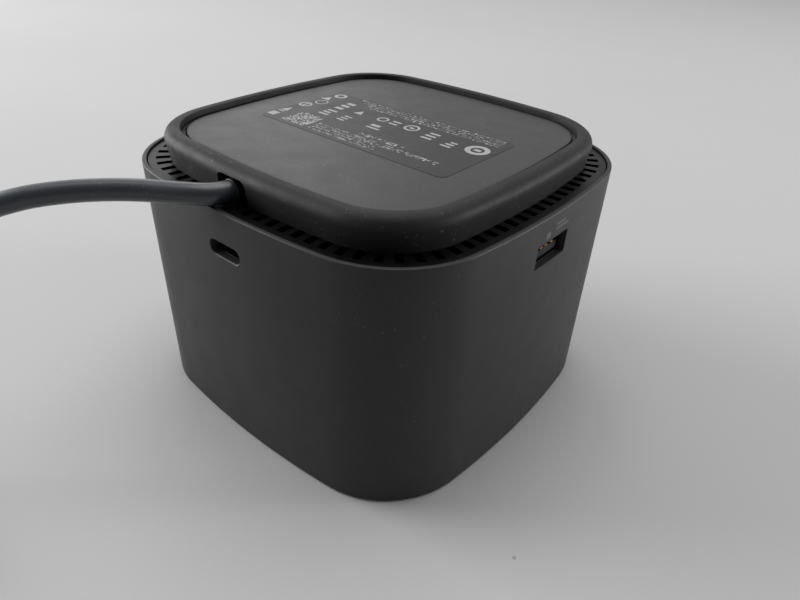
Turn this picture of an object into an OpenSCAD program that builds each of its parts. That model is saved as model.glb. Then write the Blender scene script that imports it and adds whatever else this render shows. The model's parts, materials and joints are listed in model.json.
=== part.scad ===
// Compact desktop docking station with a captive lead, stored standing on its top cover with the base up.
// The origin is the centre of the top cover's outer face, +Z points out of the base, -Y is the face that
// the lead leaves, +X is the face with one large socket, and +Y is the rear face with the socket panel.
// Millimetres throughout.

/* [Housing] */
// Width and depth across the middle of the faces
housing_w = 101.6; // [98:0.1:106]
// Height of the sleeve's rim above the top cover's outer face
rim_z = 63.9; // [62:0.1:68]
// Radius of the four vertical corners
corner_r = 24.4; // [22:0.1:27]
// Radius of the gently bowed sides
side_r = 242.2; // [200:1:320]
// Wall of the sleeve
wall = 2; // [1.8:0.1:2.4]
// Thickness of the thin lip at each end of the sleeve
lip = 1.1; // [1:0.1:1.3]
// Gap between a lip and the piece that sits inside it
lip_gap = 0.3; // [0.2:0.05:0.4]
// Thickness of the top cover
cover_t = 2.6; // [2.2:0.1:3]

/* [Base] */
// Width of the foot across the middle of its sides
foot_w = 90.6; // [88:0.1:91]
// Radius of the foot's corners
foot_corner_r = 20.9; // [19:0.1:22]
// Overall height, top cover to foot
overall_h = 71; // [70:0.1:74]
// Width of the raised band that the dock stands on
foot_band = 3.95; // [3.5:0.05:4.4]
// Width of the groove between the band and the base cover
groove_w = 1.3; // [1.2:0.05:2]
// Depth of the base cover below the band
cover_recess = 1.15; // [0.4:0.05:1.3]
// Radius of the foot's outer edge
foot_edge_r = 2.4; // [1.5:0.1:2.6]
// How much narrower the skirt is at the ledge, each side
skirt_draft = 0.8; // [0.4:0.1:1.2]

/* [Vents] */
// Number of vent slots all the way round
slot_count = 88; // [72:8:96]
// Width of one slot
slot_w = 1.8; // [1.4:0.1:2]
// Distance from the housing's outside to a slot's outer end
slot_inset = 3.2; // [3:0.1:4]
// Length of one slot
slot_l = 6; // [4:0.5:7]
// Depth of the ledge below the rim
ledge_drop = 0.5; // [0.3:0.1:1]

/* [Sockets] */
// Height of the two near sockets' centres
socket_z = 54.5; // [53:0.1:55]
// Width of the small socket's cut-out
small_w = 10; // [9.6:0.1:10.4]
// Height of the small socket's cut-out
small_h = 3.5; // [3.4:0.1:3.8]
// Width of the large socket's cut-out
large_w = 13.4; // [13.2:0.1:13.8]
// Height of the large socket's cut-out
large_h = 5.9; // [5.8:0.1:6.2]
// Width of the socket panel in the rear face
panel_w = 54; // [52:1:54]
// Height of the socket panel
panel_h = 46; // [45:1:47]

/* [Lead] */
// Diameter of the lead
lead_d = 4.8; // [4:0.1:5]
// Sideways place of the lead's notch
notch_x = -3; // [-4:0.1:-2]
// Width of the notch
notch_w = 9; // [8:0.1:10]
// Height of the lead's centre line in the notch
lead_z = 66; // [65.8:0.1:66.2]
// Number of turns in the coil
coil_turns = 3.4; // [3.2:0.05:3.45]

/* [Fan and button] */
// Side of the square fan
fan_w = 50; // [48:1:50]
// Depth of the fan
fan_t = 15; // [14:1:15]
// Number of fan blades
blade_count = 7; // [5:1:9]
// Diameter of the power button
button_d = 9; // [8:0.5:10]
// How far the button moves when it is pressed
button_travel = 0.5; // [0.3:0.1:0.6]

/* [Hidden] */
$fn = 64;
eps = 0.01;

half_w = housing_w / 2;
foot_half = foot_w / 2;
ledge_z = rim_z - ledge_drop;
ring_t = 1.8;
sleeve_bottom = 0.3;
ring_z = ledge_z - ring_t;
// The skirt and the base frame inside it
skirt_t = 3;
frame_wall = 2;
frame_top = overall_h - 1.8;
floor_z = overall_h - 4.6;
floor_t = 2;
cover_edge = foot_band + groove_w;
label_size = [60.6, 30.1, 0.15];
label_pos = [0.1, -0.05];
// The boards
board_t = 1.6;
board_z = rim_z - 6.5;
chip_w = 20;
chip_t = 1.5;
pad_t = 0.5;
boss_x = 40;
boss_y = 12;
board_inset = 11;
post_xy = 32.5;
post_d = 7;
// The fan hangs under the chassis deck
fan_y = -2;
deck_z = 24;
deck_t = 2;
fan_z = deck_z - fan_t;
fan_bore = fan_w - 3;
hub_d = 21;
shaft_d = 2;
bearing_fit = 0.04;
// The port board stands behind the rear panel
port_y = 31;
port_w = 56;
panel_z = 31;
mouth_y = 48.6;
column_x = 18;
row_z = [20, 33, 44.5];
// The button and its switch are on the -X face
button_z = 16;
light_z = 26;
switch_x = -46;
switch_t = 3;
cap_proud = 0;
// The large socket sits a little off the middle of its face
large_y = 0.4;
lock_y = 22;
// The sheet-metal socket shells
shell_t = 0.3;

// The outline of the housing is eight arcs: four corner arcs and four side arcs that meet tangentially.
// arc_k is how far a side arc's centre lies beyond the middle, arc_c is the corner centre's x and y,
// and arc_a is half the angle of a side arc. A drawn corner arc is a hair large, so that it crosses its
// side arcs cleanly.
arc_over = 0.01;
function arc_k(a, R) = R - a;
function arc_c(a, r, R) = (-2 * arc_k(a, R) + sqrt(4 * pow(arc_k(a, R), 2)
    - 8 * (pow(arc_k(a, R), 2) - pow(R - r, 2)))) / 4;
function arc_a(a, r, R) = atan2(arc_c(a, r, R), arc_c(a, r, R) + arc_k(a, R));
// One quarter's two tangent points, turned by q quarters
function turned(p, q) = [p[0] * cos(90 * q) - p[1] * sin(90 * q), p[0] * sin(90 * q) + p[1] * cos(90 * q)];
function tangent_points(a, r, R, q) =
    let (f = arc_a(a, r, R), x = R * cos(f) - arc_k(a, R), y = R * sin(f))
    [turned([x, -y], q), turned([x, y], q)];

module arc_outline(a, r, R) {
    k = arc_k(a, R);
    c = arc_c(a, r, R);
    f = arc_a(a, r, R);
    polygon([for (q = [0:3]) each tangent_points(a, r, R, q)]);
    for (q = [0:3]) rotate(90 * q) {
        translate([c, c]) circle(r + arc_over, $fn = 96);
        intersection() {
            translate([-k, 0]) circle(R, $fn = 720);
            translate([c, -R * sin(f)]) square([a, 2 * R * sin(f)]);
        }
    }
}

// The housing's outline and the foot's outline, each moved inwards by d
module housing_outline(d = 0) arc_outline(half_w - d, corner_r - d, side_r - d);
module foot_outline(d = 0) arc_outline(foot_half - d, foot_corner_r - d, side_r - d);

// Sweeps a profile round the eight arcs; x = 0 in the profile is on the outline. Each side arc runs on by
// a hair at both ends, so that the eight stretches join into one solid.
arc_lap = 0.0005;
module arc_sweep(a, r, R) {
    k = arc_k(a, R);
    c = arc_c(a, r, R);
    f = arc_a(a, r, R);
    for (q = [0:3]) rotate(90 * q) {
        translate([c, c, 0]) rotate(f) rotate_extrude(angle = 90 - 2 * f, $fn = 128)
            translate([r, 0]) children();
        translate([-k, 0, 0]) rotate(-f - arc_lap) rotate_extrude(angle = 2 * (f + arc_lap), $fn = 256)
            translate([R, 0]) children();
    }
}

module round_rect(w, h, r) {
    square([w - 2 * r, h], center = true);
    square([w, h - 2 * r], center = true);
    for (x = [-1, 1], y = [-1, 1])
        translate([x * (w / 2 - r), y * (h / 2 - r)]) circle(r, $fn = 32);
}

// A round-cornered bar whose mouth faces +Y at y = 0
module bar_y(w, h, r, depth) rotate([90, 0, 0]) linear_extrude(depth) round_rect(w, h, r);

// A sheet-metal socket shell, open towards +Y
module socket_shell(w, h, depth, r) difference() {
    bar_y(w, h, r, depth);
    translate([0, eps, 0]) bar_y(w - 2 * shell_t, h - 2 * shell_t, r - shell_t / 2, depth - 1);
}

module at_posts() for (x = [-1, 1], y = [-1, 1]) translate([x * post_xy, y * post_xy, 0]) children();

// ---- Housing ----

module housing_sleeve() color([0.19, 0.19, 0.195]) difference() {
    translate([0, 0, sleeve_bottom]) linear_extrude(rim_z - sleeve_bottom) housing_outline();
    translate([0, 0, -1]) linear_extrude(rim_z + 2) housing_outline(wall);
    // The seats for the top cover and the vent ring
    translate([0, 0, -1]) linear_extrude(cover_t + 1.4) housing_outline(lip);
    translate([0, 0, ring_z]) linear_extrude(5) housing_outline(lip);
    translate([0, -half_w - 1, socket_z]) rotate([-90, 0, 0]) linear_extrude(6)
        round_rect(small_w, small_h, 1.6);
    translate([half_w + 1, large_y, socket_z]) rotate([0, -90, 0]) linear_extrude(6)
        round_rect(large_h, large_w, 0.5);
    translate([0, half_w + 1, panel_z]) bar_y(panel_w, panel_h, 3, 6);
    translate([-half_w - 1, 0, button_z]) rotate([0, 90, 0]) cylinder(d = button_d + 0.3, h = 6);
    translate([-half_w - 1, 0, light_z]) rotate([0, 90, 0]) linear_extrude(6) round_rect(1.6, 6, 0.7);
    translate([-half_w - 1, lock_y, socket_z]) rotate([0, 90, 0]) linear_extrude(8) round_rect(3, 7, 1);
}

module top_cover() color([0.17, 0.17, 0.175]) {
    linear_extrude(cover_t) housing_outline(lip + lip_gap);
    for (x = [-1, 1], y = [-1, 1]) translate([x * boss_x, y * boss_y, cover_t]) difference() {
        cylinder(d = 6, h = 5.4);
        translate([0, 0, 0.6]) cylinder(d = 2.4, h = 6);
    }
}

// ---- Base ----

// A slot's centre and direction for a distance s along the quarter that starts on the +X axis
slot_line = slot_inset + slot_l / 2;
line_k = side_r - half_w;
line_c = arc_c(half_w, corner_r, side_r);
line_f = arc_a(half_w, corner_r, side_r);
side_len = (side_r - slot_line) * line_f * PI / 180;
corner_len = (corner_r - slot_line) * (90 - 2 * line_f) * PI / 180;
slot_pitch = (2 * side_len + corner_len) / (slot_count / 4);
function slot_angle(s) = s < side_len ? s / (side_r - slot_line) * 180 / PI
    : s < side_len + corner_len ? line_f + (s - side_len) / (corner_r - slot_line) * 180 / PI
    : 90 - (2 * side_len + corner_len - s) / (side_r - slot_line) * 180 / PI;
function slot_centre(s) = let (t = slot_angle(s)) s < side_len
    ? [-line_k + (side_r - slot_line) * cos(t), (side_r - slot_line) * sin(t)]
    : s < side_len + corner_len
    ? [line_c + (corner_r - slot_line) * cos(t), line_c + (corner_r - slot_line) * sin(t)]
    : [(side_r - slot_line) * cos(t), -line_k + (side_r - slot_line) * sin(t)];
// The ring stays whole under the lead's notch
function under_notch(q, p) = q == 3 && abs(p[1] - notch_x) < notch_w / 2 + 1;

module vent_ring() color([0.17, 0.17, 0.17]) translate([0, 0, ring_z]) linear_extrude(ring_t) difference() {
    housing_outline(lip + lip_gap);
    housing_outline(13);
    at_posts() circle(d = 6.6);
    for (q = [0:3], i = [0:slot_count / 4 - 1]) {
        p = slot_centre(i * slot_pitch);
        if (!under_notch(q, p)) rotate(90 * q) translate(p) rotate(slot_angle(i * slot_pitch))
            square([slot_l, slot_w], center = true);
    }
}

module notch_cut(top) translate([notch_x, -foot_half - 1, 0]) {
    translate([-notch_w / 2, 0, ledge_z - 1]) cube([notch_w, 12, top - ledge_z + 1 - 1.5]);
    translate([0, 12, top - 3]) rotate([90, 0, 0]) linear_extrude(12) round_rect(notch_w, 6, 1.5);
}

module skirt_profile() polygon(concat(
    [[-skirt_t, ledge_z], [-skirt_draft, ledge_z]],
    [for (t = [0:15:90]) [foot_edge_r * (cos(t) - 1), overall_h + foot_edge_r * (sin(t) - 1)]],
    [[-foot_band, overall_h], [-foot_band, frame_top], [-skirt_t, frame_top]]
));

module foot_skirt() color([0.2, 0.2, 0.2]) difference() {
    arc_sweep(foot_half, foot_corner_r, side_r) skirt_profile();
    notch_cut(overall_h - 2);
}

module base_frame() color([0.12, 0.12, 0.12]) difference() {
    union() {
        translate([0, 0, ledge_z]) linear_extrude(frame_top - ledge_z) difference() {
            foot_outline(skirt_t + 0.02);
            foot_outline(skirt_t + frame_wall);
        }
        translate([0, 0, floor_z]) linear_extrude(floor_t) foot_outline(skirt_t + frame_wall - 0.5);
        at_posts() translate([0, 0, board_z + board_t]) cylinder(d = 6, h = floor_z - board_z);
    }
    at_posts() {
        translate([0, 0, board_z]) cylinder(d = 3.2, h = 20);
        translate([0, 0, floor_z + 0.6]) cylinder(d = 6.2, h = 5);
    }
    notch_cut(frame_top - 0.6);
    // The strain relief's well and the way down for the inner lead
    translate([notch_x - 5, -38, floor_z - 1]) cube([10, 16, 5]);
}

module base_cover() color([0.2, 0.2, 0.2]) difference() {
    translate([0, 0, floor_z + floor_t]) linear_extrude(overall_h - cover_recess - floor_z - floor_t)
        foot_outline(cover_edge);
    translate([label_pos[0], label_pos[1], overall_h - cover_recess - label_size[2] / 2])
        linear_extrude(1) round_rect(label_size[0] + 0.3, label_size[1] + 0.3, 2.1);
}

module rating_label() color([0.15, 0.15, 0.15])
    translate([label_pos[0], label_pos[1], overall_h - cover_recess - label_size[2] / 2])
        linear_extrude(label_size[2]) round_rect(label_size[0], label_size[1], 2);

module screw(d, head_d, head_h, length) {
    difference() {
        cylinder(d = head_d, h = head_h);
        translate([0, 0, head_h - 0.9]) cylinder(d = head_d * 0.5, h = 1, $fn = 6);
    }
    translate([0, 0, -length]) cylinder(d = d, h = length + eps);
}

module base_screws() color("silver") at_posts() translate([0, 0, floor_z + 0.6]) screw(2.8, 5.4, 1.3, 15);

module ballast_plate() color("gray") translate([0, 0, ledge_z]) linear_extrude(2.6) difference() {
    foot_outline(skirt_t + frame_wall + 1.2);
    at_posts() circle(d = 8);
    translate([notch_x - 10, -50]) square([20, 34]);
}

// ---- Inside ----

module chassis() color([0.13, 0.13, 0.14]) difference() {
    union() {
        translate([0, 0, deck_z]) linear_extrude(deck_t) difference() {
            housing_outline(4);
            translate([-half_w, port_y - 1.5]) square([housing_w, 40]);
            translate([-half_w - 1, -11]) square([10.8, 22]);
        }
        at_posts() translate([0, 0, cover_t]) cylinder(d = post_d, h = board_z - cover_t);
        for (x = [-1, 1]) difference() {
            union() {
                translate([x * 43.2 - 0.8, -20, 8]) cube([1.6, 40, 36]);
                for (y = [-1, 1]) translate([x * boss_x - 3, y * boss_y - 3, 8]) cube([6, 6, 2]);
            }
            translate([x * 43.2 - 2, -10.5, 6]) cube([4, 21, 25.5]);
            for (y = [-1, 1]) translate([x * boss_x, y * boss_y, 7]) cylinder(d = 2.8, h = 4);
        }
    }
    translate([0, fan_y, deck_z - 1]) cylinder(d = fan_bore, h = deck_t + 2);
    for (x = [-1, 1], y = [-1, 1])
        translate([x * 20, fan_y + y * 20, deck_z - 1]) cylinder(d = 3.2, h = deck_t + 2);
    at_posts() translate([0, 0, board_z - 12]) cylinder(d = 3, h = 13);
}

module cover_screws() color("silver") for (x = [-1, 1], y = [-1, 1])
    translate([x * boss_x, y * boss_y, 10]) screw(2.2, 4.4, 1.4, 5.6);

module main_board() color([0.05, 0.25, 0.16]) translate([0, 0, board_z])
    linear_extrude(board_t) difference() {
        union() {
            housing_outline(board_inset);
            translate([28, large_y - 9]) square([18.5, 18]);
            translate([-7, -46.5]) square([14, 18]);
        }
        at_posts() circle(d = 3.2);
    }

module processor_chip() color([0.1, 0.1, 0.1])
    translate([-chip_w / 2, fan_y - chip_w / 2, board_z - chip_t]) cube([chip_w, chip_w, chip_t]);

// Inductors, capacitors and small chips round the processor
module board_parts() color([0.2, 0.2, 0.22]) {
    for (i = [0:3]) translate([-38.5 + 7.5 * (i % 2), -16 + 11 * floor(i / 2), board_z - 3]) cube([7, 7, 3]);
    for (i = [0:3]) translate([27 + 6.5 * (i % 2), 14 + 7 * floor(i / 2), board_z - 5.5])
        cylinder(d = 5, h = 5.5);
    for (i = [0:2]) translate([-24 + 18 * i, 6, board_z + board_t]) cube([10, 8, 1]);
}

module thermal_pad() color("lightblue")
    translate([-chip_w / 2, fan_y - chip_w / 2, board_z - chip_t - pad_t]) cube([chip_w, chip_w, pad_t]);

module heat_sink() color("silver") translate([0, fan_y, board_z - 5]) {
    translate([-23, -23, 0]) cube([46, 46, 3]);
    for (i = [-5:5]) translate([-23, i * 4.4 - 0.6, -23]) cube([46, 1.2, 23 + eps]);
}

// A folded lid over the parts on the base side of the board
module shield_can() color("silver") translate([0, 10, board_z + board_t]) difference() {
    translate([-27, -7, 0]) cube([54, 14, 1.9]);
    translate([-26.7, -6.7, -1]) cube([53.4, 13.4, 2.6]);
}

module fan_frame() color([0.08, 0.08, 0.08]) translate([0, fan_y, fan_z]) {
    difference() {
        linear_extrude(fan_t) round_rect(fan_w, fan_w, 3);
        translate([0, 0, -1]) cylinder(d = fan_bore, h = fan_t + 2, $fn = 96);
        for (x = [-1, 1], y = [-1, 1]) translate([x * 20, y * 20, -1]) cylinder(d = 3.2, h = fan_t + 2);
    }
    difference() {
        union() {
            translate([0, 0, fan_t - 2]) cylinder(d = hub_d, h = 2);
            for (t = [0:90:270]) rotate(t + 30) translate([hub_d / 2 - 1, -1.5, fan_t - 2])
                cube([(fan_bore - hub_d) / 2 + 1.6, 3, 2]);
        }
        translate([0, 0, fan_t - 3]) cylinder(d = 5, h = 4);
    }
}

module fan_bearing() color("goldenrod") translate([0, fan_y, fan_z + 5]) difference() {
    cylinder(d = 5, h = fan_t - 5);
    translate([0, 0, -1]) cylinder(d = shaft_d + 2 * bearing_fit, h = fan_t - 5);
}

module fan_rotor() color([0.1, 0.1, 0.1]) translate([0, fan_y, fan_z + 1]) {
    difference() {
        cylinder(d = hub_d, h = 11.4);
        translate([0, 0, 2]) cylinder(d = hub_d - 3, h = 12);
        translate([0, 0, -1]) cylinder(d = shaft_d, h = 4);
    }
    for (i = [0:blade_count - 1]) rotate(360 / blade_count * i) intersection() {
        translate([0, 0, 0.6]) difference() {
            cylinder(d = fan_bore - 1.5, h = 10.2, $fn = 96);
            translate([0, 0, -1]) cylinder(d = hub_d - 1.5, h = 14);
        }
        translate([0, 0, 5.7]) rotate([42, 0, 0]) translate([hub_d / 4, -0.6, -12]) cube([30, 1.2, 24]);
    }
}

module fan_shaft() color("silver") translate([0, fan_y, fan_z + 1]) cylinder(d = shaft_d, h = 12);

module fan_screws() color("silver") for (x = [-1, 1], y = [-1, 1])
    translate([x * 20, fan_y + y * 20, fan_z]) rotate([180, 0, 0]) screw(2.9, 5.2, 1.5, fan_t + 2);

// ---- Near sockets: the small one faces -Y and the large one faces +X ----

module facing_front(x, z) translate([x, 0, z]) rotate([0, 0, 180]) children();
module facing_right(y, z) translate([0, y, z]) rotate([0, 0, -90]) children();

module small_socket_shell() color("silver") facing_front(0, socket_z) {
    translate([0, mouth_y + 0.6, 0]) socket_shell(8.94, 3.16, 8, 1.45);
    // Legs up to the board
    for (x = [-1, 1]) translate([x * 2.5 - 0.5, mouth_y - 6, 1.5]) cube([1, 4, board_z - socket_z - 1.5]);
}

module small_socket_tongue() color([0.1, 0.1, 0.1]) facing_front(0, socket_z)
    translate([0, mouth_y - 0.4, 0]) bar_y(6.7, 0.7, 0.3, 6 - eps);

module large_socket_shell() color("silver") facing_right(large_y, socket_z)
    translate([0, mouth_y + 0.6, 0]) socket_shell(13.1, 5.7, 14, 0.6);

module large_socket_tongue() color([0.1, 0.1, 0.1]) facing_right(large_y, socket_z)
    translate([0, mouth_y + 0.4, -0.9]) bar_y(11.1, 1.8, 0.2, 12.8 - eps);

module large_socket_contacts() color([0.78, 0.5, 0.25]) facing_right(large_y, socket_z)
    for (x = [-3.5, -1, 1, 3.5]) translate([x - 0.6, mouth_y - 9.4, 0]) cube([1.2, 9.6, 0.2]);

// ---- Rear sockets ----

module rear(x, z) translate([x, mouth_y, z]) children();
socket_depth = mouth_y - port_y - board_t;

module port_board() color([0.05, 0.25, 0.16])
    translate([-port_w / 2, port_y, 4]) cube([port_w, board_t, board_z - 4]);

module board_link() color([0.08, 0.08, 0.08]) translate([-16, port_y - 5, board_z - 5]) cube([32, 5, 5]);

module rear_panel() color([0.1, 0.1, 0.1]) difference() {
    intersection() {
        translate([0, half_w - side_r, 0]) difference() {
            cylinder(r = side_r - 0.6, h = 60, $fn = 720);
            translate([0, 0, -1]) cylinder(r = side_r - 2.4, h = 62, $fn = 720);
        }
        translate([0, half_w + 1, panel_z]) bar_y(panel_w - 0.3, panel_h - 0.3, 2.85, 8);
    }
    translate([0, 3, 0]) {
        rear(-column_x, row_z[2]) rotate([90, 0, 0]) cylinder(d = 8.2, h = 9);
        rear(-column_x, 25) bar_y(16.2, 13.7, 0.5, 9);
        for (z = [row_z[1], row_z[2]]) rear(0, z) bar_y(16.6, 5.4, 0.8, 9);
        rear(0, row_z[0]) bar_y(15.4, 6, 1.2, 9);
        for (z = [row_z[1], row_z[2]]) rear(column_x, z) bar_y(large_w, large_h, 0.5, 9);
        rear(column_x, row_z[0]) rotate([90, 0, 0]) cylinder(d = 7.2, h = 9);
    }
}

module ethernet_jack() color([0.75, 0.75, 0.75]) rear(-column_x, 25) difference() {
    bar_y(16, 13.5, 0.4, socket_depth);
    translate([0, eps, 0.8]) bar_y(11.9, 8.4, 0.2, 11);
    translate([0, eps, -4]) bar_y(6, 2.4, 0.2, 11);
    translate([0, eps, -5.2]) bar_y(3.6, 1.6, 0.2, 11);
}

module ethernet_contacts() color("gold") rear(-column_x, 25)
    for (i = [0:7]) translate([-3.8 + i * 1.02, -10, 4.3]) cube([0.45, 8, 0.4]);

module power_jack() color([0.08, 0.08, 0.08]) rear(-column_x, row_z[2]) rotate([90, 0, 0]) difference() {
    cylinder(d = 8, h = socket_depth);
    translate([0, 0, -1]) cylinder(d = 6.4, h = 11);
}

module power_jack_pin() color("silver") rear(-column_x, row_z[2]) translate([0, -1, 0]) rotate([90, 0, 0])
    cylinder(d = 1.6, h = 9, $fn = 32);

module display_sockets() color("silver") for (z = [row_z[1], row_z[2]])
    rear(0, z) socket_shell(16.4, 5.2, socket_depth, 0.7);

module display_tongues() color([0.1, 0.1, 0.1]) for (z = [row_z[1], row_z[2]])
    rear(0, z) translate([0, -1.2, -0.4]) bar_y(12.4, 1.2, 0.2, socket_depth - 2.2 - eps);

module video_socket() color("silver") rear(0, row_z[0]) socket_shell(15.1, 5.7, socket_depth, 1.1);

module video_tongue() color([0.1, 0.1, 0.1]) rear(0, row_z[0]) translate([0, -1.2, 0.3])
    bar_y(11.6, 1.1, 0.2, socket_depth - 2.2 - eps);

module rear_socket_shells() color("silver") for (z = [row_z[1], row_z[2]])
    rear(column_x, z) socket_shell(13.1, 5.7, socket_depth, 0.6);

module rear_socket_tongues() color([0.1, 0.3, 0.6]) for (z = [row_z[1], row_z[2]])
    rear(column_x, z) translate([0, -1, -0.9]) bar_y(11.1, 1.8, 0.2, socket_depth - 2 - eps);

module audio_jack() color([0.08, 0.08, 0.08]) rear(column_x, row_z[0]) rotate([90, 0, 0]) difference() {
    cylinder(d = 7, h = socket_depth);
    translate([0, 0, -1]) cylinder(d = 3.6, h = 13);
}

// ---- Power button on the -X face ----

module power_button() color([0.22, 0.22, 0.22])
    translate([-half_w - cap_proud, 0, button_z]) rotate([0, 90, 0]) {
        cylinder(d = button_d - 0.6, h = 0.31);
        translate([0, 0, 0.3]) cylinder(d = button_d, h = 2.2);
        translate([0, 0, 2.5]) cylinder(d = button_d + 1.6, h = 0.8);
        translate([0, 0, 3.3 - eps]) cylinder(d = 3, h = switch_x + half_w + cap_proud - 3.9);
    }

module switch_plunger() color([0.6, 0.6, 0.6]) translate([switch_x - 0.6, 0, button_z]) rotate([0, 90, 0])
    cylinder(d = 2.6, h = 1.6);

module power_switch() color([0.15, 0.15, 0.15]) translate([switch_x, 0, button_z]) difference() {
    translate([0, -3, -3]) cube([switch_t, 6, 6]);
    translate([-1, 0, 0]) rotate([0, 90, 0]) cylinder(d = 2.8, h = 3);
}

module switch_board() color([0.05, 0.25, 0.16]) translate([switch_x + switch_t, -9, 8]) cube([1.4, 18, 22]);

// The status light and its pipe to the switch board
module status_light() color([0.85, 0.87, 0.9]) translate([-half_w + 0.1, 0, light_z]) rotate([0, 90, 0])
    linear_extrude(switch_x + switch_t + half_w - 0.1) round_rect(1.3, 5.7, 0.6);

module lock_plate() color("gray") difference() {
    translate([-half_w + 4.2, lock_y - 8, socket_z - 6]) cube([1.5, 16, 8.5]);
    translate([-half_w + 2, lock_y, socket_z]) rotate([0, 90, 0]) linear_extrude(5) round_rect(3, 7, 1);
}

// ---- Captive lead ----

// The lead's free length, exit to coil: round points chosen by hand
lead_route = [
    [-3, -45, 66], [-3.2, -48, 66.2], [-4.4, -50.7, 66.4], [-6.7, -52.8, 66.5], [-10, -55.2, 66.5],
    [-15, -59, 66.6], [-20, -63.8, 66.6], [-25, -69.8, 66.4], [-29.8, -76.8, 65.6], [-34, -84, 63.5],
    [-37.4, -90.1, 59.2], [-40.3, -95.3, 53], [-43, -100.1, 45.5], [-45.6, -104.8, 37.5],
    [-48.2, -109.4, 29.5], [-50.9, -114.2, 21.8], [-54, -119.7, 15], [-57.4, -125.7, 10.2], [-61, -132, 7.8]
];
// From the coil to the plug, along the surface
tail_route = [
    [-21.9, -174.7, 3], [-17, -172.5, 3], [-12, -170.2, 3.1], [-7.3, -168.1, 3.1], [-3.7, -166.5, 3.1]
];
// The short stretch inside the base, from the strain relief to the main board
inner_route = [[-3, -37, 66], [-3, -33.5, 65.8], [-3, -30.5, 64.6], [-3, -28.6, 62.8], [-3, -28, 61.4]];
coil_centre = [-34.5, -147];
coil_r = 26.4;
coil_layers = 2;
tie_t = 0.6;
tie_w = 9;
tie_angle = 240;
coil_half = lead_d * (coil_turns / 4 + 0.5);
plug_angle = 24.4;

function unit(v) = v / norm(v);
function tangent(p, i) = unit(p[min(i + 1, len(p) - 1)] - p[max(i - 1, 0)]);
function side_of(t) = unit(cross(t, [0, 0, 1]));

// One tube of n sides along the points of a route
module tube(route, d, n) {
    last = len(route) - 1;
    rings = [for (i = [0:last]) let (t = tangent(route, i), u = side_of(t), v = cross(u, t))
        for (j = [0:n - 1]) route[i] + d / 2 * (cos(360 * j / n) * u + sin(360 * j / n) * v)];
    walls = [for (i = [0:last - 1], j = [0:n - 1]) let (a = i * n + j, b = i * n + (j + 1) % n)
        each [[a, a + n, b + n], [a, b + n, b]]];
    ends = [[for (j = [0:n - 1]) j], [for (j = [0:n - 1]) last * n + n - 1 - j]];
    polyhedron(rings, concat(walls, ends));
}

module strain_relief() color([0.06, 0.06, 0.07]) translate([notch_x, -45, lead_z]) rotate([-90, 0, 0]) {
    cylinder(d1 = lead_d, d2 = lead_d + 0.35, h = 5);
    // The flange behind the base frame's wall
    translate([-4, -2.3, 5 - eps]) cube([8, 4.6, 3]);
}

module inner_lead() color([0.1, 0.1, 0.11]) tube(inner_route, lead_d - 0.8, 10);

module lead_connector() color([0.9, 0.9, 0.88]) translate([notch_x - 5, -31, board_z + board_t])
    cube([10, 6, 2.5]);

module cable_clamp() color([0.1, 0.1, 0.1]) translate([notch_x, -33.5, floor_z - 3.2]) difference() {
    translate([-8.5, -2, 0]) cube([17, 4, 3.2]);
    translate([0, 3, lead_z - floor_z + 3.2]) rotate([90, 0, 0]) cylinder(d = lead_d, h = 6);
    for (x = [-1, 1]) translate([x * 6.7, 0, -1]) cylinder(d = 1.9, h = 6);
}

module clamp_screws() color("silver") for (x = [-1, 1]) translate([notch_x + x * 6.7, -33.5, floor_z - 3.2])
    rotate([180, 0, 0]) screw(1.8, 3, 1, 3.1);

module cable() color([0.07, 0.08, 0.1]) tube(lead_route, lead_d, 10);

module cable_tail() color([0.07, 0.08, 0.1]) tube(tail_route, lead_d, 10);

module cable_coil() color([0.07, 0.08, 0.1]) translate([coil_centre[0], coil_centre[1], tie_t])
    rotate_extrude($fn = 96) translate([coil_r, lead_d * coil_layers / 2])
        round_rect(2 * coil_half, lead_d * coil_layers, lead_d / 2);

module cable_tie() color([0.1, 0.1, 0.1]) translate([coil_centre[0], coil_centre[1], 0]) rotate(tie_angle)
    translate([coil_r, tie_w / 2, lead_d * coil_layers / 2 + tie_t]) rotate([90, 0, 0]) linear_extrude(tie_w)
        difference() {
            round_rect(2 * coil_half + 2 * tie_t, lead_d * coil_layers + 2 * tie_t, lead_d / 2 + tie_t);
            round_rect(2 * coil_half, lead_d * coil_layers, lead_d / 2);
        }

module at_plug() translate(tail_route[len(tail_route) - 1]) rotate(plug_angle) rotate(-90) children();

module cable_plug() color([0.07, 0.08, 0.1]) at_plug() {
    rotate([-90, 0, 0]) cylinder(d1 = 5.2, d2 = 5.9, h = 9);
    translate([0, 29, 0]) bar_y(11.6, 6.2, 2.2, 20 + eps);
}

module plug_shell() color("silver") at_plug() translate([0, 35.65, 0]) difference() {
    bar_y(8.34, 2.56, 1.2, 6.66);
    translate([0, eps, 0]) bar_y(7.7, 1.9, 0.9, 6);
}

housing_sleeve();
top_cover();
vent_ring();
base_frame();
foot_skirt();
base_cover();
rating_label();
base_screws();
ballast_plate();
chassis();
cover_screws();
main_board();
processor_chip();
board_parts();
thermal_pad();
heat_sink();
shield_can();
fan_frame();
fan_bearing();
fan_rotor();
fan_shaft();
fan_screws();
small_socket_shell();
small_socket_tongue();
large_socket_shell();
large_socket_tongue();
large_socket_contacts();
port_board();
board_link();
rear_panel();
ethernet_jack();
ethernet_contacts();
power_jack();
power_jack_pin();
display_sockets();
display_tongues();
video_socket();
video_tongue();
rear_socket_shells();
rear_socket_tongues();
audio_jack();
power_button();
switch_plunger();
power_switch();
switch_board();
status_light();
lock_plate();
strain_relief();
inner_lead();
lead_connector();
cable_clamp();
clamp_screws();
cable();
cable_coil();
cable_tail();
cable_tie();
cable_plug();
plug_shell();
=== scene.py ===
"""Docking station, stored base up, with its captive lead.

Meshes are drawn in the part's own frame in millimetres, and finish_mesh turns them to metres.
"""

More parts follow.
